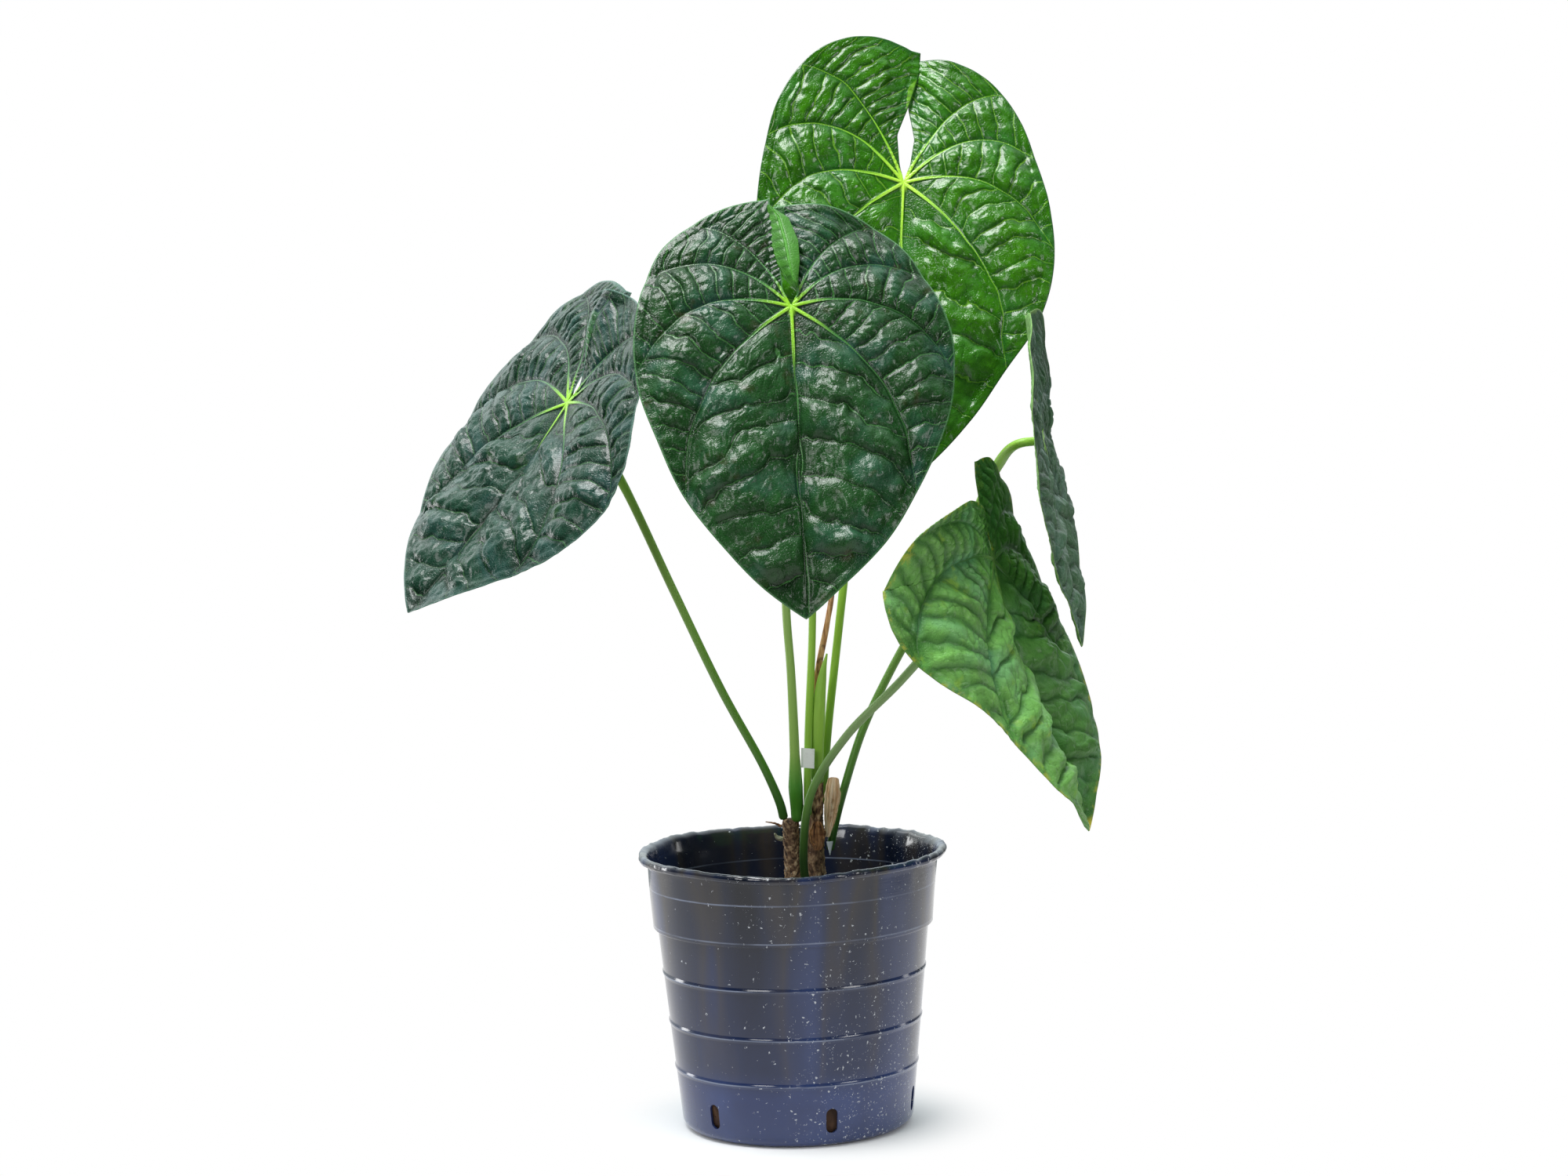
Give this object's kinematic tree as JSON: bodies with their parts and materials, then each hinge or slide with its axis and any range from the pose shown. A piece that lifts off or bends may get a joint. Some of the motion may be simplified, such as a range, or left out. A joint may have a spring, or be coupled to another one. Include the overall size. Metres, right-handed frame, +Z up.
{
  "type": "potted anthurium plant",
  "caption": "Living velvet-leaved anthurium with large heart-shaped quilted leaves on slender stalks, in a round tapered nursery pot.",
  "frame": {"origin": "centre of the pot's base, on the surface it stands on", "axes": "+Z up along the pot's axis, +X to the right and +Y away as the dark front leaf faces the viewer"},
  "size_m": [0.4408, 0.2798, 0.7081],
  "materials": {
    "pot_plastic": "glossy near-black plastic with a blue cast, water spots and fine scratches",
    "husk": "loose brown coconut-husk chips",
    "bark": "rough brown bark with root scars",
    "velvet_leaf": "dark blue-green leaf with a grey velvet sheen and sunken pale veins",
    "glossy_leaf": "bright green glossy young leaf",
    "aging_leaf": "mid-green leaf with yellowing margins",
    "green_stalk": "smooth green leaf stalk",
    "spadix": "fine knobbly yellow-green spadix",
    "dry_tissue": "dry brown tissue with dark speckles",
    "papery_sheath": "dry beige papery sheath",
    "label": "plain white label plastic",
    "label_grey": "weathered grey label plastic"
  },
  "bodies": {
    "root": {"pot": "pot_plastic", "potting_mix": "husk", "stem_left": "bark", "stem_right": "bark", "leaf_front": "velvet_leaf", "leaf_left": "velvet_leaf", "leaf_far_right": "velvet_leaf", "leaf_back": "glossy_leaf", "leaf_lower_right": "aging_leaf", "petiole_front": "green_stalk", "petiole_back": "green_stalk", "petiole_left": "green_stalk", "petiole_lower_right": "green_stalk", "petiole_far_right": "green_stalk", "flower_stalk": "green_stalk", "spathe": "glossy_leaf", "spadix": "spadix", "dry_stalk": "dry_tissue", "new_leaf_sheath": "green_stalk", "dry_sheath_tall": "papery_sheath", "dry_sheath_short": "dry_tissue", "aerial_root_stub": "papery_sheath", "aerial_root_thin": "dry_tissue", "plant_tag": "label", "tag_tail": "label_grey"}
  },
  "joints": []
}
